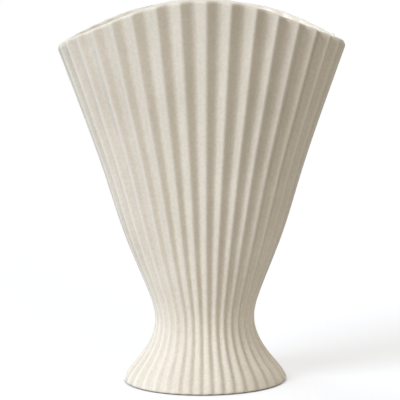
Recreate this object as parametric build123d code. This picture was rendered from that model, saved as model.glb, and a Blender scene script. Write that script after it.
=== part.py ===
"""Fan vase: a fluted, slip-cast ceramic vase with an arched rim, a pinched waist and a flared round foot.

Millimetres. +Z is up, the broad front faces -Y, and the origin is on the floor under the vase's axis.
"""
import os
from math import cos, hypot, pi, sin

from build123d import *

# Rim
HEIGHT = 230.0              # floor to the top of the arched rim
ARCH_RISE = 24.4            # middle of the rim above its corners
ARCH_ROUND = 0.53           # share of the rim's half width where the arch is round; it is straight beyond
ARCH_START = 95.0           # height where the level lines of the flutes begin to follow the arch
RIM_WIDTH = 173.2           # across the rim corners
RIM_DEPTH = 94.0            # front to back at the rim
LIP_RISE = 2.2              # height of the rounded lip

# Side line below the rim
FAN_HOLLOW = 0.9            # how far the sides draw in from straight between the belly and the rim
BELLY_HEIGHT = 86.0
BELLY_WIDTH = 93.0
BELLY_DEPTH = 71.2
NECK_HEIGHT = 57.0
NECK_WIDTH = 69.6
NECK_DEPTH = 63.4
WAIST_HEIGHT = 38.0
WAIST_DIAMETER = 60.2
FLARE_HEIGHT = 14.0
FLARE_DIAMETER = 81.0
FOOT_TURN_HEIGHT = 5.5      # where the flare begins to turn down to the floor
FOOT_TURN_DIAMETER = 94.4
FOOT_DIAMETER = 98.6
FOOT_EDGE_ROUND = 1.0

# Flutes
FLUTE_COUNT = 36
RIM_FLUTE_DEPTH = 3.0
WAIST_FLUTE_DEPTH = 1.3
FOOT_FLUTE_DEPTH = 0.9
INNER_FLUTE_DEPTH = 1.2     # softer waves of the inside, at the rim
FOOT_GATHER = 0.18          # share by which the flutes draw together at the front and the back of the foot

# Wall, base and glaze
WALL = 4.5                  # behind the bottom of a flute
FLOOR_THICKNESS = 6.0
FLOOR_CORNER = 5.0
FOOT_RING_WIDTH = 10.0
RECESS_DEPTH = 3.0          # hollow under the foot, inside the foot ring
RECESS_TAPER = 3.0          # how much the hollow narrows towards its roof
GLAZE = 0.5                 # thickness of the coat inside

# Foot pads
PAD_COUNT = 4
PAD_DIAMETER = 8.0
PAD_THICKNESS = 0.5
FIRST_PAD_ANGLE = 45.0

# Numbers of level lines that the surfaces are drawn through
OUTER_LEVELS = 16
INNER_LEVELS = 11
LIP_LEVELS = 5
FOOT_EDGE_LEVELS = 3
FLOOR_CORNER_LEVELS = 3

# Sizes that follow from those above
LIP_START = HEIGHT - ARCH_RISE - LIP_RISE
LIP_TOP_INSET = RIM_FLUTE_DEPTH + WALL / 2
FOOT_EDGE_HEIGHT = PAD_THICKNESS + FOOT_EDGE_ROUND
CONTACT_RADIUS = FOOT_DIAMETER / 2 - FOOT_EDGE_ROUND
RECESS_RADIUS = CONTACT_RADIUS - FOOT_RING_WIDTH
FLOOR_HEIGHT = PAD_THICKNESS + RECESS_DEPTH + FLOOR_THICKNESS
PITCH = 2 * pi / FLUTE_COUNT

# Points of one flute, as shares of the way from crest to crest
FLUTE_STEPS = (0.0, 0.5, 1.0)

# Shares of the way from the belly to the rim where the side line passes through its hollow
FAN_STATIONS = (1 / 3, 2 / 3)


def fan_station(share):
    """Point of the side line at a share of the way from the belly to the rim."""
    straight = belly * (1 - share) + rim * share
    return straight - Vector(FAN_HOLLOW, 0, 0)


# The side line is drawn in a space of half width, half depth and height
belly = Vector(BELLY_WIDTH / 2, BELLY_DEPTH / 2, BELLY_HEIGHT)
rim = Vector(RIM_WIDTH / 2, RIM_DEPTH / 2, LIP_START)
side_line = Spline(
    (FOOT_DIAMETER / 2, FOOT_DIAMETER / 2, FOOT_EDGE_HEIGHT),
    (FOOT_TURN_DIAMETER / 2, FOOT_TURN_DIAMETER / 2, FOOT_TURN_HEIGHT),
    (FLARE_DIAMETER / 2, FLARE_DIAMETER / 2, FLARE_HEIGHT),
    (WAIST_DIAMETER / 2, WAIST_DIAMETER / 2, WAIST_HEIGHT),
    (NECK_WIDTH / 2, NECK_DEPTH / 2, NECK_HEIGHT),
    belly,
    *[fan_station(share) for share in FAN_STATIONS],
    rim,
)


def spread(first, last, count):
    """Evenly spaced values from first to last."""
    return [first + (last - first) * i / (count - 1) for i in range(count)]


def share_at(height):
    """Share of the side line that lies below a height."""
    crossing = side_line.intersect(Plane.XY.offset(height))
    return side_line.param_at_point(crossing.vertices()[0])


def share_of_fan(height):
    """How far a height lies up the way from the waist to the lip, from 0 to 1."""
    return max((height - WAIST_HEIGHT) / (LIP_START - WAIST_HEIGHT), 0)


def flute_depth(height):
    """Depth of the flutes, which grows from the foot to the waist and on to the rim."""
    if height < WAIST_HEIGHT:
        share = (height - FOOT_EDGE_HEIGHT) / (WAIST_HEIGHT - FOOT_EDGE_HEIGHT)
        return FOOT_FLUTE_DEPTH + share * (WAIST_FLUTE_DEPTH - FOOT_FLUTE_DEPTH)
    return WAIST_FLUTE_DEPTH + share_of_fan(height) * (RIM_FLUTE_DEPTH - WAIST_FLUTE_DEPTH)


def hollow(step):
    """Share of a flute's depth at a step across it: none at its crests, all in its middle."""
    return 4 * step * (1 - step)


def gathered(angle, height):
    """Angle of a point of a flute, drawn towards the front or the back between the waist and the foot."""
    share = min(max((WAIST_HEIGHT - height) / (WAIST_HEIGHT - FOOT_EDGE_HEIGHT), 0), 1)
    return angle - FOOT_GATHER * share * sin(2 * angle) / 2


def arch_drop(reach):
    """Share of its rise that the arch has lost at a reach from its middle, from 0 to 1 at a corner."""
    curve = reach**2 if reach < ARCH_ROUND else ARCH_ROUND * (2 * reach - ARCH_ROUND)
    return curve / (ARCH_ROUND * (2 - ARCH_ROUND))


def arch_lift(angle, height):
    """Height that the arch adds to a level line: nothing at the sides, most in the middle."""
    rise = ARCH_RISE * (1 - arch_drop(abs(sin(angle))))
    share = min(max((height - ARCH_START) / (LIP_START - ARCH_START), 0), 1)
    return rise * share**2 * (3 - 2 * share)


def oval_point(angle, half_width, half_depth, height, inset):
    """Point of an oval level line, moved in by an inset square to the oval."""
    across = sin(angle) / half_width
    along = -cos(angle) / half_depth
    size = hypot(across, along)
    x = half_width * sin(angle) - inset * across / size
    y = -half_depth * cos(angle) - inset * along / size
    return Vector(x, y, height + arch_lift(angle, height))


def outer_level(share):
    """Fluted outside at a share of the side line, as a function of the flute and a step across it."""
    level = side_line @ share
    depth = flute_depth(level.Z)
    return lambda flute, step: oval_point(
        gathered((flute + step) * PITCH, level.Z), level.X, level.Y, level.Z, depth * hollow(step))


def foot_level(turn):
    """Line round the foot's rounded edge: fluted at its widest, a plain circle where it turns under."""
    radius = CONTACT_RADIUS + FOOT_EDGE_ROUND * cos(turn)
    height = FOOT_EDGE_HEIGHT - FOOT_EDGE_ROUND * sin(turn)
    depth = FOOT_FLUTE_DEPTH * cos(turn)
    return lambda flute, step: oval_point(
        gathered((flute + step) * PITCH, height), radius, radius, height, depth * hollow(step))


def inner_level(share, coat):
    """Inside of the wall at a share of the side line, or the face of a coat that lies on it."""
    level = side_line @ share
    slope = side_line % share
    depth = INNER_FLUTE_DEPTH * share_of_fan(level.Z)
    wall = WALL + flute_depth(level.Z) - depth + coat
    half_width = level.X - wall * hypot(1, slope.X / slope.Z)
    half_depth = level.Y - wall * hypot(1, slope.Y / slope.Z)
    return lambda flute, step: oval_point(
        (flute + step) * PITCH, half_width, half_depth, level.Z, depth * hollow(step))


def round_level(radius, height):
    """Plain circle at a height."""
    return lambda flute, step: oval_point((flute + step) * PITCH, radius, radius, height, 0)


def level_wire(level):
    """Closed line with one curved edge for each flute."""
    edges = []
    for flute in range(FLUTE_COUNT):
        points = [level(flute, step) for step in FLUTE_STEPS]
        edges.append(Edge.make_spline(points, parameters=list(FLUTE_STEPS)))
    return Wire(edges)


def skin(levels, ruled=False):
    """Faces through a row of levels, one face for each flute between two crests."""
    return Shell.make_loft([level_wire(level) for level in levels], ruled).faces()


def outer_wall():
    """Fluted outside, from the widest line of the foot to the start of the lip."""
    return skin([outer_level(share) for share in spread(0, 1, OUTER_LEVELS)])


def foot_edge():
    """Rounded edge between the widest line of the foot and the ring that it stands on."""
    return skin([foot_level(turn) for turn in spread(0, pi / 2, FOOT_EDGE_LEVELS)], ruled=True)


def lip():
    """Rounded lip: from the fluted outside up to a plain oval top line, and down to the waves inside."""
    outside = outer_level(1)
    inner_edge = inner_level(1, 0)
    level = side_line @ 1

    def lip_level(turn):
        side = outside if turn < pi / 2 else inner_edge
        share = abs(cos(turn))
        rise = Vector(0, 0, LIP_RISE * sin(turn))

        def point(flute, step):
            top = oval_point((flute + step) * PITCH, level.X, level.Y, level.Z, LIP_TOP_INSET)
            return top * (1 - share) + side(flute, step) * share + rise

        return point

    return skin([lip_level(turn) for turn in spread(0, pi, LIP_LEVELS)], ruled=True)


def inside(coat):
    """Faces of the inside: the wall, the rounded corner at its bottom and the floor."""
    floor = FLOOR_HEIGHT + coat
    bottom_share = share_at(floor + FLOOR_CORNER)
    wall = skin([inner_level(share, coat) for share in spread(1, bottom_share, INNER_LEVELS)])
    bottom = inner_level(bottom_share, coat)
    bottom_radius = abs(bottom(0, 0).Y)
    corner_levels = [bottom]
    for turn in spread(0, pi / 2, FLOOR_CORNER_LEVELS)[1:]:
        radius = bottom_radius - FLOOR_CORNER * (1 - cos(turn))
        corner_levels.append(round_level(radius, floor + FLOOR_CORNER * (1 - sin(turn))))
    return wall + skin(corner_levels, ruled=True) + [Face(level_wire(corner_levels[-1]))]


def ceramic_body():
    """The one piece of fired clay: fluted wall, lip, inside and foot ring."""
    underside = Face(level_wire(foot_level(pi / 2)))
    body = Solid(Shell(outer_wall() + foot_edge() + lip() + inside(0) + [underside]))
    recess = Solid.make_cone(RECESS_RADIUS, RECESS_RADIUS - RECESS_TAPER, RECESS_DEPTH)
    return body - Pos(0, 0, PAD_THICKNESS) * recess


def glaze_liner():
    """Glassy coat over the whole of the inside."""
    edge = skin([inner_level(1, 0), inner_level(1, GLAZE)])
    return Solid(Shell(inside(0) + inside(GLAZE) + edge))


def foot_pads():
    """Small round pads stuck to the foot ring."""
    pad = Solid.make_cylinder(PAD_DIAMETER / 2, PAD_THICKNESS)
    places = PolarLocations(CONTACT_RADIUS - FOOT_RING_WIDTH / 2, PAD_COUNT, FIRST_PAD_ANGLE)
    return [place * pad for place in places]


os.makedirs("parts", exist_ok=True)
export_step(ceramic_body(), "parts/ceramic_body.step")
export_step(glaze_liner(), "parts/glaze_liner.step")
for number, pad in enumerate(foot_pads(), start=1):
    export_step(pad, f"parts/foot_pad_{number}.step")
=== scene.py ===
from math import cos, pi, radians, sin

import bpy
import numpy as np
from mathutils import Matrix, Vector


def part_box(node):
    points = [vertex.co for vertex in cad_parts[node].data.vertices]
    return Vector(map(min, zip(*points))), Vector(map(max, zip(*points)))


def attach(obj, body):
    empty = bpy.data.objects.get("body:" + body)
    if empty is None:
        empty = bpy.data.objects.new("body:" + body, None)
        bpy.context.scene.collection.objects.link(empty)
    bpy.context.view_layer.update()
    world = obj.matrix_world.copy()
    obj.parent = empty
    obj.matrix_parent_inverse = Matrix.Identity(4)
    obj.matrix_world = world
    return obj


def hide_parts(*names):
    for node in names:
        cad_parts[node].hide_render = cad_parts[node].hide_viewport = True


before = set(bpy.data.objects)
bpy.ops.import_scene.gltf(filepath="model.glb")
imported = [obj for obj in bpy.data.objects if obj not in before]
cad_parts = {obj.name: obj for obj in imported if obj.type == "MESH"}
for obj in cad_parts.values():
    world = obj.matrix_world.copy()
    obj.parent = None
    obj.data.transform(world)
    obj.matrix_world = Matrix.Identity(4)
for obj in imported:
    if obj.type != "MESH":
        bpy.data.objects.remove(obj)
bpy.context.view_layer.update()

# Looks of the fan vase: matt fluted stoneware, a glossy glaze inside and felt pads under the foot.
# Lengths are in metres. MM turns a size in millimetres into metres.
MM = 0.001

# Sizes read from the solids
body_low, body_high = (Vector(corner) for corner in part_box("ceramic_body"))
HEIGHT = body_high.z
RIM_WIDTH = body_high.x - body_low.x
FOOT_DIAMETER = body_high.y - body_low.y
FOOT_UNDERSIDE = body_low.z

# Rim and its arch, as in the solids
ARCH_RISE = 24.4 * MM
ARCH_ROUND = 0.53           # share of the half width where the arch is round; it is straight beyond
ARCH_START = 95.0 * MM      # height from which the level lines begin to arch
RIM_DEPTH = 94.0 * MM
LIP_RISE = 2.2 * MM
LIP_START = HEIGHT - ARCH_RISE - LIP_RISE

# Back half of the lip, which is higher than the front half on its straight parts
BACK_RISE_LEFT = 2.2 * MM
BACK_RISE_RIGHT = 3.0 * MM
BACK_RISE_REACH = (0.25, 0.65)  # shares of the half width between which the rise begins
BACK_RISE_TURN = 3          # how soon it is full, going round from the rim's ends to the back
BACK_RISE_END = 8           # power that ends it at the rim's two ends

# Side line: height, half width and half depth of each station
FAN_HOLLOW = 0.9 * MM
FOOT_EDGE_ROUND = 1.0 * MM
FOOT_EDGE = (FOOT_UNDERSIDE + FOOT_EDGE_ROUND, FOOT_DIAMETER / 2, FOOT_DIAMETER / 2)
FOOT_TURN = (5.5 * MM, 47.2 * MM, 47.2 * MM)
FLARE = (14.0 * MM, 40.5 * MM, 40.5 * MM)
WAIST = (38.0 * MM, 30.1 * MM, 30.1 * MM)
NECK = (57.0 * MM, 34.8 * MM, 31.7 * MM)
BELLY = (86.0 * MM, 46.5 * MM, 35.6 * MM)
RIM = (LIP_START, RIM_WIDTH / 2, RIM_DEPTH / 2)
FAN_STATIONS = (1 / 3, 2 / 3)

# Flutes: straight-sided pleats with narrow crests at the rim, which turn into rounded ribs lower down
FLUTE_COUNT = 36
FLUTE_TURN = 0.19           # share of a flute by which the crests lie to the right of the middle
FLUTE_LEAN = 0.11           # how much more that is on the left, and less on the right
FLUTE_TWIST = 0.18          # how much more it is at the foot

# Depths of the flutes at the foot, the flare, the waist and the rim
FLUTE_DEPTHS = (0.95 * MM, 1.35 * MM, 1.10 * MM, 3.4 * MM)

# How far the flutes draw together at the front and the back, from the foot to the rim
GATHERED_BELOW = 150.0 * MM
GATHERS = (0.25, 0.06, 0.10, 0.02, 0.0)

# Half of the round part of a crest and of a valley, at the foot, the waist and the rim, in flute widths
CREST_ROUNDS = (0.26, 0.23, 0.070)
VALLEY_ROUNDS = (0.12, 0.12, 0.14)

# Two ends of the rim, where the flutes fade out under the lip and the outline is rounded
CORNER_REACH = 0.90         # share of the half width beyond which the flutes fade
CORNER_DROP = 14.0 * MM     # how far below the lip they begin to fade
CORNER_FADE = 0.75
CORNER_ROUND = 3.0 * MM
CORNER_TURN = 0.85          # how far the rounding turns, as the sine of its angle

# Slight unevenness of a hand-finished mould
UNEVEN_SEED = 11
UNEVEN_DEPTH = 0.07         # as a share of a flute's depth
UNEVEN_SHIFT = 0.03         # as a share of a flute's width
UNEVEN_SIDES = 0.15         # how much deeper the flutes are on the right, and shallower on the left

# Inside of the wall, set off from the solids' flute depths, with soft waves of its own
WALL = 4.5 * MM
RIM_FLUTE_DEPTH = 3.0 * MM
WAIST_FLUTE_DEPTH = 1.3 * MM
FOOT_FLUTE_DEPTH = 0.9 * MM
INNER_FLUTE_DEPTH = 1.2 * MM
LIP_TOP_INSET = RIM_FLUTE_DEPTH + WALL / 2
GLAZE = 0.5 * MM

# Floor inside, and the foot ring with the hollow under it
FLOOR_HEIGHT = FOOT_UNDERSIDE + 9.0 * MM
FLOOR_CORNER = 5.0 * MM
FOOT_RING_WIDTH = 10.0 * MM
FOOT_RING_ROUND = 0.8 * MM
RECESS_DEPTH = 3.0 * MM
RECESS_TAPER = 3.0 * MM
POLE_RADIUS = 0.4 * MM      # the small face that closes each end of a skin

# Glaze that runs onto the lip, and a painted highlight along each crest: a paler line, faint in front and
# behind and strongest at the fan's sides
GLAZED_LIP = 0.4            # share of the way over the lip where the glaze starts to thin
CREST_HIGHLIGHT_WIDTH = 0.20           # half width of the paler line, as a share of a flute's width
CREST_HIGHLIGHT_FRONT = 0.2            # how pale it is in front and behind, as a share of its tone at the sides
CREST_HIGHLIGHT_TURN = 3               # power by which its tone grows from the front to the sides

# Fineness of the meshes, and of the sums and slopes behind them
STEPS_PER_FLUTE = 18
STEP_CROWDING = 0.04        # how much the steps crowd towards the crests
OUTER_ROWS = 90
INNER_ROWS = 24
LIP_ROWS = 13
ROUND_ROWS = 6
PLEAT_STEPS = 201
TRAVEL_STEPS = 2000
SLOPE_STEP = 0.1 * MM

# Tones of the clay, dark and pale. Grains and specks are factors on the clouds.
CLAY_CLOUDS = ((0.70, 0.65, 0.56), (0.77, 0.72, 0.635))
CLAY_GRAINS = ((0.935, 0.93, 0.92), (1.055, 1.055, 1.055))
CLAY_SPECKS = ((0.80, 0.77, 0.72), (1.0, 1.0, 1.0))
SPECK_STRENGTH = 0.7
# Painted highlight: the paler tone along each crest, and how strongly it shows
CREST_HIGHLIGHT_TONE = (0.93, 0.88, 0.79)
CREST_HIGHLIGHT_STRENGTH = 0.95
# Tone of the glazed lip, paler than the glaze inside: the glaze, with a painted highlight where the lip's
# top catches the light
LIP_GLAZE_AND_HIGHLIGHT_TONE = (0.80, 0.77, 0.70)

# Shine of the clay
CLAY_ROUGHNESS = (0.62, 0.80)
LIP_ROUGHNESS = 0.4         # roughness of the glazed lip, as a share of the clay's
CLAY_SHINE = 0.35

# Glaze inside
GLAZE_CLOUDS = ((0.72, 0.67, 0.58), (0.79, 0.75, 0.67))
GLAZE_ROUGHNESS = (0.08, 0.18)
GLAZE_COAT = 0.3

# Felt of the pads
FELT_FIBRES = ((0.09, 0.075, 0.06), (0.22, 0.19, 0.16))
FELT_ROUGHNESS = 0.95
FELT_SHEEN = 0.4

# Camera, fitted to the photograph's outline
CAMERA_DISTANCE = 1.16991
CAMERA_HEIGHT = 0.241244
CAMERA_TARGET = Vector((-0.001990, 0.0, 0.109610))
CAMERA_ROLL = radians(-0.660)
CAMERA_LENS = 175.955       # millimetres, on a sensor 36 mm wide
SENSOR = 36.0
CAMERA_SIGHT = 100.0        # how far the camera sees

# Lamps: direction round from the front and above the level, both in degrees, strength and colour
LAMP_SPREAD = radians(27)   # angle that each lamp fills, seen from the vase
WHITE = (1.0, 1.0, 1.0)
DAYLIGHT = (0.94, 1.0, 1.09)
WARM = (1.0, 0.925, 0.81)
LAMPS = (
    ("key", -50.0, 35.0, 1.38, DAYLIGHT),
    ("left", -68.0, 8.0, 1.22, DAYLIGHT),
    ("front", 20.0, 8.0, 0.95, WARM),
    ("back left", -125.0, 30.0, 0.50, DAYLIGHT),
    ("back right", 158.0, 30.0, 0.60, WARM),
)
WORLD_STRENGTH = 0.33

# Floor: its colour and glow where it is seen or mirrored, and its tone to the light that it throws back
FLOOR_REACH = 20.0
FLOOR_COLOUR = (0.60, 0.62, 0.66)
FLOOR_ROUGHNESS = 0.9
FLOOR_GLOW = 0.51           # makes the open floor white
# Painted contact shadow: the glow is left out under the foot and fades in just past its edge, so a thin
# ring of floor round the foot stays darker
CONTACT_SHADOW_EDGE = (0.0478, 0.0502)    # distances from the middle between which the glow starts, by the foot
BOUNCE_NEAR = 0.50
BOUNCE_FAR = 0.05
BOUNCE_REACH = (0.10, 0.30)     # distances from the middle between which that tone changes


def ease(share):
    """Smooth way from 0 to 1, level at both ends."""
    share = np.clip(share, 0, 1)
    return share**2 * (3 - 2 * share)


def natural_line(places, values):
    """Smooth function through values at given places, straight at both ends."""
    gaps = np.diff(places)
    rises = np.diff(values) / gaps
    count = len(places)
    system = np.eye(count)
    target = np.zeros(count)
    for i in range(1, count - 1):
        system[i, i - 1:i + 2] = gaps[i - 1], 2 * (gaps[i - 1] + gaps[i]), gaps[i]
        target[i] = 6 * (rises[i] - rises[i - 1])
    bends = np.linalg.solve(system, target)

    def line(place):
        i = np.clip(np.searchsorted(places, place) - 1, 0, count - 2)
        after = place - places[i]
        before = places[i + 1] - place
        curve = (bends[i] * before**3 + bends[i + 1] * after**3) / (6 * gaps[i])
        left = (values[i] / gaps[i] - bends[i] * gaps[i] / 6) * before
        right = (values[i + 1] / gaps[i] - bends[i + 1] * gaps[i] / 6) * after
        return curve + left + right

    return line


def side_lines():
    """Half width and half depth as functions of the height."""
    stations = [FOOT_EDGE, FOOT_TURN, FLARE, WAIST, NECK, BELLY]
    for share in FAN_STATIONS:
        straight = np.array(BELLY) * (1 - share) + np.array(RIM) * share
        stations.append(straight - np.array((0, FAN_HOLLOW, 0)))
    table = np.array(stations + [RIM])
    return natural_line(table[:, 0], table[:, 1]), natural_line(table[:, 0], table[:, 2])


half_width_at, half_depth_at = side_lines()
gather_places = (FOOT_EDGE[0], WAIST[0], BELLY[0], GATHERED_BELOW, LIP_START)
gather_at = natural_line(np.array(gather_places), np.array(GATHERS))

# Points round a level line: the crest that each follows, and its way to the next crest, from 0 to 1
FLUTE_ANGLE = 2 * pi / FLUTE_COUNT
crests = np.repeat(np.arange(FLUTE_COUNT), STEPS_PER_FLUTE)
even_steps = np.arange(STEPS_PER_FLUTE) / STEPS_PER_FLUTE
flute_steps = np.tile(even_steps - STEP_CROWDING * np.sin(2 * pi * even_steps), FLUTE_COUNT)
from_crest = np.minimum(flute_steps, 1 - flute_steps)
plain_angles = (crests + flute_steps) * FLUTE_ANGLE
plain_angles += (FLUTE_TURN - FLUTE_LEAN * np.sin(plain_angles)) * FLUTE_ANGLE

chance = np.random.default_rng(UNEVEN_SEED)
low_shifts, high_shifts = chance.uniform(-UNEVEN_SHIFT, UNEVEN_SHIFT, (2, FLUTE_COUNT))
depth_factors = 1 - np.repeat(chance.uniform(0, 2 * UNEVEN_DEPTH, FLUTE_COUNT), STEPS_PER_FLUTE)
depth_factors *= 1 + UNEVEN_SIDES * np.sin(plain_angles)


def share_of_fan(height):
    """How far a height lies up the way from the waist to the lip, from 0 to 1."""
    return max((height - WAIST[0]) / (LIP_START - WAIST[0]), 0)


def from_foot_to_rim(height, at_foot, at_waist, at_rim):
    """Value that changes evenly from the foot to the waist and from the waist to the rim."""
    if height < WAIST[0]:
        return float(np.interp(height, (FOOT_EDGE[0], WAIST[0]), (at_foot, at_waist)))
    return at_waist + share_of_fan(height) * (at_rim - at_waist)


def outer_angles(height):
    """Angles of the points of the flutes: a little uneven, twisted and gathered towards the foot."""
    share = share_of_fan(height)
    shifts = low_shifts * (1 - share) + high_shifts * share
    shift = shifts[crests] * (1 - flute_steps) + np.roll(shifts, -1)[crests] * flute_steps
    shift += FLUTE_TWIST * ease((BELLY[0] - height) / (BELLY[0] - FLARE[0]))
    angles = plain_angles + shift * FLUTE_ANGLE
    return angles - gather_at(height) * np.sin(2 * angles) / 2


def pleat(crest_round, valley_round):
    """Share of a pleat's depth at each point: straight sides, round crest and valley."""
    fine = np.linspace(0, 0.5, PLEAT_STEPS)
    slope = np.minimum(fine / crest_round, 1) * np.minimum((0.5 - fine) / valley_round, 1)
    depth = np.concatenate(((0,), np.cumsum(slope[1:] + slope[:-1])))
    return np.interp(from_crest, fine, depth / depth[-1])


def flute_inset(height):
    """How far each point of a flute lies behind the crests."""
    depth = np.interp(height, (FOOT_EDGE[0], FLARE[0], WAIST[0], LIP_START), FLUTE_DEPTHS)
    crest_round = from_foot_to_rim(height, *CREST_ROUNDS)
    valley_round = from_foot_to_rim(height, *VALLEY_ROUNDS)
    corner = np.clip((np.abs(np.sin(plain_angles)) - CORNER_REACH) / (1 - CORNER_REACH), 0, 1)
    near_lip = np.clip((height - LIP_START) / CORNER_DROP + 1, 0, 1)
    fade = 1 - CORNER_FADE * corner * near_lip**2
    turned = CORNER_TURN * max((height - LIP_START) / CORNER_ROUND + 1, 0)
    rounding = corner * CORNER_ROUND * (1 - (1 - turned**2) ** 0.5)
    return depth * depth_factors * fade * pleat(crest_round, valley_round) + rounding


def arch_lift(angles, height):
    """Height that the arch adds to a level line: nothing at the sides, most in the middle."""
    reach = np.abs(np.sin(angles))
    drop = np.where(reach < ARCH_ROUND, reach**2, ARCH_ROUND * (2 * reach - ARCH_ROUND))
    rise = ARCH_RISE * (1 - drop / (ARCH_ROUND * (2 - ARCH_ROUND)))
    back = np.clip(-BACK_RISE_TURN * np.cos(angles), 0, 1) * (1 - reach**BACK_RISE_END)
    most = np.where(np.sin(angles) > 0, BACK_RISE_RIGHT, BACK_RISE_LEFT)
    start, full = BACK_RISE_REACH
    rise += most * back * ease((reach - start) / (full - start))
    return rise * ease((height - ARCH_START) / (LIP_START - ARCH_START))


def oval_ring(angles, half_width, half_depth, height, inset):
    """Points of an oval level line, moved in by an inset square to the oval."""
    across = np.sin(angles) / half_width
    along = -np.cos(angles) / half_depth
    size = np.hypot(across, along)
    x = half_width * np.sin(angles) - inset * across / size
    y = -half_depth * np.cos(angles) - inset * along / size
    return np.column_stack((x, y, height + arch_lift(angles, height)))


def outer_ring(height):
    """Fluted outside at a height of the side line."""
    return oval_ring(
        outer_angles(height), half_width_at(height), half_depth_at(height), height, flute_inset(height))


def inner_ring(height, coat):
    """Inside of the wall at a height of the side line, or the face of a coat that lies on it."""
    wave_depth = INNER_FLUTE_DEPTH * share_of_fan(height)
    flute_depth = from_foot_to_rim(height, FOOT_FLUTE_DEPTH, WAIST_FLUTE_DEPTH, RIM_FLUTE_DEPTH)
    wall = WALL + flute_depth - wave_depth + coat
    insides = []
    for line in (half_width_at, half_depth_at):
        slope = (line(height + SLOPE_STEP) - line(height - SLOPE_STEP)) / (2 * SLOPE_STEP)
        insides.append(line(height) - wall * np.hypot(1, slope))
    return oval_ring(plain_angles, *insides, height, wave_depth * np.sin(pi * flute_steps) ** 2)


def round_ring(radius, height):
    """Plain circle at a height."""
    return oval_ring(plain_angles, radius, radius, height, 0)


def even_heights(low, high, rows):
    """Heights from low to high that space the rows evenly along the side line."""
    fine = np.linspace(low, high, TRAVEL_STEPS)
    steps = np.hypot(np.diff(fine), np.diff(half_width_at(fine)))
    travel = np.concatenate(((0,), np.cumsum(steps)))
    return np.interp(np.linspace(0, travel[-1], rows), travel, fine)


def underside_rings():
    """Hollow under the foot and the ring round it, from the middle outwards."""
    contact = FOOT_DIAMETER / 2 - FOOT_EDGE_ROUND
    recess = contact - FOOT_RING_WIDTH
    roof = FOOT_UNDERSIDE + RECESS_DEPTH
    rings = [round_ring(POLE_RADIUS, roof), round_ring((recess - RECESS_TAPER) / 2, roof)]
    rings.append(round_ring(recess - RECESS_TAPER - FOOT_RING_ROUND, roof))
    rings.append(round_ring(recess - RECESS_TAPER, roof - FOOT_RING_ROUND))
    for turn in np.linspace(0, pi / 2, ROUND_ROWS):
        radius = recess + FOOT_RING_ROUND * (1 - cos(turn))
        rings.append(round_ring(radius, FOOT_UNDERSIDE + FOOT_RING_ROUND * (1 - sin(turn))))
    rings.append(round_ring((recess + contact) / 2, FOOT_UNDERSIDE))
    angles = outer_angles(FOOT_EDGE[0])
    inset = flute_inset(FOOT_EDGE[0])
    for turn in np.linspace(pi / 2, 0, ROUND_ROWS)[:-1]:
        radius = contact + FOOT_EDGE_ROUND * cos(turn)
        height = FOOT_EDGE[0] - FOOT_EDGE_ROUND * sin(turn)
        rings.append(oval_ring(angles, radius, radius, height, inset * cos(turn)))
    return rings


def outside_rings():
    """Fluted outside from the foot's edge to the lip, with closer rows at the rim's rounded ends."""
    turn_start = LIP_START - CORNER_ROUND
    heights = list(even_heights(FOOT_EDGE[0], turn_start, OUTER_ROWS))
    heights += list(np.linspace(turn_start, LIP_START, ROUND_ROWS)[1:])
    return [outer_ring(height) for height in heights]


def lip_rings():
    """Rounded lip: from the fluted outside up to a plain oval top line, and down to the waves inside."""
    outside = outer_ring(LIP_START)
    inside = inner_ring(LIP_START, 0)
    top = oval_ring(plain_angles, RIM[1], RIM[2], LIP_START, LIP_TOP_INSET)
    rings = []
    for turn in np.linspace(0, pi, LIP_ROWS)[1:-1]:
        side = outside if turn < pi / 2 else inside
        share = abs(cos(turn))
        rings.append(top * (1 - share) + side * share + (0, 0, LIP_RISE * sin(turn)))
    return rings


def inside_rings(coat):
    """Inside of the vase, from the lip down the wall and in to the middle of the floor."""
    floor_height = FLOOR_HEIGHT + coat
    heights = even_heights(floor_height + FLOOR_CORNER, LIP_START, INNER_ROWS)[::-1]
    rings = [inner_ring(height, coat) for height in heights]
    corner = -rings[-1][0, 1]
    for turn in np.linspace(0, pi / 2, ROUND_ROWS)[1:]:
        radius = corner - FLOOR_CORNER * (1 - cos(turn))
        rings.append(round_ring(radius, floor_height + FLOOR_CORNER * (1 - sin(turn))))
    rings.append(round_ring((corner - FLOOR_CORNER) / 2, floor_height))
    rings.append(round_ring(POLE_RADIUS, floor_height))
    return rings


def skin_object(name, rings, **layers):
    """Mesh of quads through a row of rings, closed at each end, with named values for its points."""
    count = len(plain_angles)
    points = np.concatenate(rings)
    faces = []
    for row in range(len(rings) - 1):
        low, high = row * count, (row + 1) * count
        for i in range(count):
            j = (i + 1) % count
            faces.append((low + i, low + j, high + j, high + i))
    faces.append(tuple(range(count - 1, -1, -1)))
    last = (len(rings) - 1) * count
    faces.append(tuple(range(last, last + count)))
    mesh = bpy.data.meshes.new(name)
    mesh.from_pydata(points.tolist(), [], faces)
    mesh.shade_smooth()
    for layer, values in layers.items():
        mesh.attributes.new(layer, "FLOAT", "POINT").data.foreach_set("value", values.ravel())
    piece = bpy.data.objects.new(name, mesh)
    bpy.context.scene.collection.objects.link(piece)
    return piece


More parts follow.
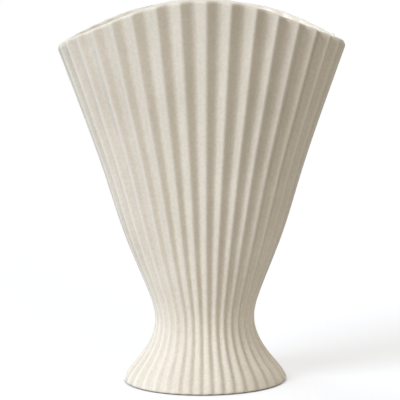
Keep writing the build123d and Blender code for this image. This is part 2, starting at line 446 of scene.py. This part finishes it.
def ceramic_body():
    """The fired clay: underside, fluted wall, lip and inside in one closed skin."""
    below, outside, lip, inside = underside_rings(), outside_rings(), lip_rings(), inside_rings(0)
    over_lip = np.clip(np.linspace(0, 1, len(lip)) / GLAZED_LIP, 0, 1)
    bare, full = np.zeros(len(below)), np.ones(len(inside))
    glazed = np.concatenate((bare, np.zeros(len(outside)), over_lip, full))
    fluted = np.concatenate((bare, np.ones(len(outside)), 1 - over_lip, 1 - full))
    # Painted highlight along each crest, faint in front and behind and strongest at the fan's sides
    crest_highlight = np.clip(1 - from_crest / CREST_HIGHLIGHT_WIDTH, 0, 1)
    crest_highlight *= CREST_HIGHLIGHT_FRONT + (1 - CREST_HIGHLIGHT_FRONT) * np.abs(np.sin(plain_angles)) ** CREST_HIGHLIGHT_TURN
    return skin_object(
        "vase_body", below + outside + lip + inside,
        glazed=np.repeat(glazed, len(crest_highlight)), crest=np.outer(fluted, crest_highlight))


def glaze_liner():
    """The glaze coat: the face on the clay, up to the lip, and the face in the hollow."""
    on_clay = inside_rings(0)[::-1]
    return skin_object("vase_glaze", on_clay + inside_rings(GLAZE))


class Nodes:
    """The nodes of a material or of the world, with short calls to add and join them."""

    def __init__(self, owner):
        owner.use_nodes = True
        self.tree = owner.node_tree

    def shader(self):
        return self.tree.nodes["Principled BSDF"].inputs

    def add(self, kind, **settings):
        node = self.tree.nodes.new(kind)
        for key, value in settings.items():
            setattr(node, key, value)
        return node

    def join(self, output, target):
        self.tree.links.new(output, target)

    def put(self, value, socket):
        """Sets a socket to a constant, or joins another node's output to it."""
        if isinstance(value, bpy.types.NodeSocket):
            self.join(value, socket)
        else:
            socket.default_value = (*value, 1) if isinstance(value, tuple) else value

    def coordinates(self):
        return self.add("ShaderNodeTexCoord").outputs["Object"]

    def layer(self, name):
        """Values that the mesh holds for its points."""
        return self.add("ShaderNodeAttribute", attribute_name=name).outputs["Fac"]

    def noise(self, place, scale, detail, roughness=0.5):
        node = self.add("ShaderNodeTexNoise")
        node.inputs["Scale"].default_value = scale
        node.inputs["Detail"].default_value = detail
        node.inputs["Roughness"].default_value = roughness
        self.join(place, node.inputs["Vector"])
        return node.outputs["Fac"]

    def ramp(self, value, tones, start=0.0, end=1.0):
        """Colour that goes from the first tone to the second as a value goes from start to end."""
        node = self.add("ShaderNodeValToRGB")
        for element, position, tone in zip(node.color_ramp.elements, (start, end), tones):
            element.position = position
            element.color = (*tone, 1)
        self.join(value, node.inputs["Fac"])
        return node.outputs["Color"]

    def mix(self, kind, share, first, second):
        node = self.add("ShaderNodeMix", data_type="RGBA", blend_type=kind)
        for value, name in ((share, "Factor"), (first, "A"), (second, "B")):
            self.put(value, [s for s in node.inputs if s.name == name and s.enabled][0])
        return [s for s in node.outputs if s.enabled][0]

    def map_range(self, value, low, high, start=0.0, end=1.0):
        """Number that goes from low to high as a value goes from start to end."""
        node = self.add("ShaderNodeMapRange")
        node.inputs["From Min"].default_value = start
        node.inputs["From Max"].default_value = end
        node.inputs["To Min"].default_value = low
        node.inputs["To Max"].default_value = high
        self.join(value, node.inputs["Value"])
        return node.outputs["Result"]

    def reckon(self, operation, first, second):
        node = self.add("ShaderNodeMath", operation=operation)
        self.join(first, node.inputs[0])
        self.join(second, node.inputs[1])
        return node.outputs["Value"]

    def bump(self, height, distance, strength, normal=None):
        node = self.add("ShaderNodeBump")
        node.inputs["Strength"].default_value = strength
        node.inputs["Distance"].default_value = distance
        self.join(height, node.inputs["Height"])
        if normal:
            self.join(normal, node.inputs["Normal"])
        return node.outputs["Normal"]

    def seen(self):
        """1 to the camera, to mirrors and through glass, and 0 to the light that surfaces get."""
        path = self.add("ShaderNodeLightPath")
        seen = path.outputs["Is Camera Ray"]
        for way in ("Is Glossy Ray", "Is Transmission Ray"):
            seen = self.reckon("MAXIMUM", seen, path.outputs[way])
        return seen


def stoneware():
    """Matt off-white clay: faint clouds of tone, fine specks and a fine sandy grain."""
    material = bpy.data.materials.new("stoneware")
    clay = Nodes(material)
    shader = clay.shader()
    place = clay.coordinates()
    clouds = clay.ramp(clay.noise(place, scale=28, detail=3), CLAY_CLOUDS, start=0.30, end=0.70)
    grains = clay.ramp(clay.noise(place, scale=600, detail=5), CLAY_GRAINS, start=0.30, end=0.70)
    specks = clay.ramp(clay.noise(place, scale=1700, detail=2), CLAY_SPECKS, start=0.25, end=0.38)
    tone = clay.mix("MULTIPLY", 1.0, clouds, grains)
    tone = clay.mix("MULTIPLY", SPECK_STRENGTH, tone, specks)
    # Painted highlight along the crests
    tone = clay.mix("MIX", clay.map_range(clay.layer("crest"), 0, CREST_HIGHLIGHT_STRENGTH), tone, CREST_HIGHLIGHT_TONE)
    # Glaze on the lip: smoother, and paler in tone, which is partly a painted highlight
    glazed = clay.layer("glazed")
    clay.join(clay.mix("MIX", glazed, tone, LIP_GLAZE_AND_HIGHLIGHT_TONE), shader["Base Color"])
    matt = clay.map_range(clay.noise(place, scale=60, detail=3), *CLAY_ROUGHNESS)
    smoothed = clay.map_range(glazed, 1, LIP_ROUGHNESS)
    clay.join(clay.reckon("MULTIPLY", matt, smoothed), shader["Roughness"])
    shader["Specular IOR Level"].default_value = CLAY_SHINE
    sand = clay.noise(place, scale=1400, detail=3, roughness=0.6)
    sandy = clay.bump(sand, distance=0.12 * MM, strength=0.35)
    dents = clay.noise(place, scale=130, detail=2)
    clay.join(clay.bump(dents, distance=0.25 * MM, strength=0.35, normal=sandy), shader["Normal"])
    return material


def inner_glaze():
    """Glossy off-white glaze that pools a little unevenly."""
    material = bpy.data.materials.new("inner_glaze")
    glaze = Nodes(material)
    shader = glaze.shader()
    place = glaze.coordinates()
    tone = glaze.ramp(glaze.noise(place, scale=35, detail=3), GLAZE_CLOUDS, start=0.35, end=0.65)
    glaze.join(tone, shader["Base Color"])
    gloss = glaze.map_range(glaze.noise(place, scale=90, detail=2), *GLAZE_ROUGHNESS)
    glaze.join(gloss, shader["Roughness"])
    pools = glaze.noise(place, scale=110, detail=2)
    glaze.join(glaze.bump(pools, distance=0.3 * MM, strength=0.3), shader["Normal"])
    shader["Coat Weight"].default_value = GLAZE_COAT
    return material


def felt():
    """Dense grey-brown felt of matted fibres."""
    material = bpy.data.materials.new("pad_felt")
    pad = Nodes(material)
    shader = pad.shader()
    place = pad.coordinates()
    fibres = pad.noise(place, scale=1800, detail=5, roughness=0.7)
    pad.join(pad.ramp(fibres, FELT_FIBRES, start=0.3, end=0.7), shader["Base Color"])
    shader["Roughness"].default_value = FELT_ROUGHNESS
    shader["Sheen Weight"].default_value = FELT_SHEEN
    nap = pad.noise(place, scale=2600, detail=4, roughness=0.7)
    pad.join(pad.bump(nap, distance=0.15 * MM, strength=0.7), shader["Normal"])
    return material


def white_floor():
    """White floor that shows as white to the camera and keeps the vase's soft shadow."""
    material = bpy.data.materials.new("floor")
    ground = Nodes(material)
    shader = ground.shader()
    seen = ground.seen()
    length = ground.add("ShaderNodeVectorMath", operation="LENGTH")
    ground.join(ground.coordinates(), length.inputs[0])
    away = length.outputs["Value"]
    far = ground.map_range(away, 0, 1, *BOUNCE_REACH)
    bounce = ground.ramp(far, ((BOUNCE_NEAR,) * 3, (BOUNCE_FAR,) * 3))
    ground.join(ground.mix("MIX", seen, bounce, FLOOR_COLOUR), shader["Base Color"])
    shader["Emission Color"].default_value = (*WHITE, 1)
    # Painted contact shadow: no glow under the foot, fading in just past its edge
    glow = ground.map_range(away, 0, FLOOR_GLOW, *CONTACT_SHADOW_EDGE)
    ground.join(ground.reckon("MULTIPLY", seen, glow), shader["Emission Strength"])
    shader["Roughness"].default_value = FLOOR_ROUGHNESS
    shader["Specular IOR Level"].default_value = 0.0
    return material


def dress(piece, material, slot, *nodes):
    """Gives a piece its material and lets it stand for the solids of some nodes."""
    piece.data.materials.clear()
    piece.data.materials.append(material)
    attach(piece, "root")
    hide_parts(*nodes)


def floor():
    """Plain floor under the vase, large enough to fill the picture."""
    mesh = bpy.data.meshes.new("floor")
    corners = [(x * FLOOR_REACH, y * FLOOR_REACH, 0) for x, y in ((-1, -1), (1, -1), (1, 1), (-1, 1))]
    mesh.from_pydata(corners, [], [(0, 1, 2, 3)])
    mesh.materials.append(white_floor())
    plane = bpy.data.objects.new("floor", mesh)
    bpy.context.scene.collection.objects.link(plane)


def lamp(name, azimuth, elevation, strength, colour):
    """Broad soft lamp, far away in a direction from the vase."""
    light = bpy.data.lights.new(name, "SUN")
    light.angle = LAMP_SPREAD
    light.energy = strength
    light.color = colour
    round_by, up_by = radians(azimuth), radians(elevation)
    way = Vector((sin(round_by) * cos(up_by), -cos(round_by) * cos(up_by), sin(up_by)))
    holder = bpy.data.objects.new(name, light)
    holder.location = way
    holder.rotation_euler = (-way).to_track_quat("-Z", "Y").to_euler()
    bpy.context.scene.collection.objects.link(holder)


def world_light():
    """Even surroundings: soft warm light on the vase, and plain white where they are seen or mirrored."""
    world = bpy.data.worlds.new("surroundings")
    sky = Nodes(world)
    background = sky.tree.nodes["Background"].inputs
    seen = sky.seen()
    sky.join(sky.map_range(seen, WORLD_STRENGTH, 1), background["Strength"])
    sky.join(sky.ramp(seen, (WARM, WHITE)), background["Color"])
    bpy.context.scene.world = world


def camera():
    """Camera at the photograph's place, with its slight roll."""
    place = Vector((0, -CAMERA_DISTANCE, CAMERA_HEIGHT))
    forward = (CAMERA_TARGET - place).normalized()
    right = forward.cross(Vector((0, 0, 1))).normalized()
    up = right.cross(forward)
    rolled_right = right * cos(CAMERA_ROLL) + up * sin(CAMERA_ROLL)
    rolled_up = up * cos(CAMERA_ROLL) - right * sin(CAMERA_ROLL)
    data = bpy.data.cameras.new("camera")
    data.sensor_width = SENSOR
    data.lens = CAMERA_LENS
    data.clip_end = CAMERA_SIGHT
    view = bpy.data.objects.new("camera", data)
    turn = Matrix((rolled_right, rolled_up, -forward)).transposed()
    view.matrix_world = Matrix.Translation(place) @ turn.to_4x4()
    bpy.context.scene.collection.objects.link(view)
    bpy.context.scene.camera = view


dress(ceramic_body(), stoneware(), "stoneware", "ceramic_body")
dress(glaze_liner(), inner_glaze(), "inner_glaze", "glaze_liner")
pad_material = felt()
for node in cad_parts:
    if node.startswith("foot_pad"):
        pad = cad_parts[node]
        pad.data.materials.clear()
        pad.data.materials.append(pad_material)

floor()
world_light()
for settings in LAMPS:
    lamp(*settings)
camera()
bpy.context.scene.view_settings.view_transform = "Standard"
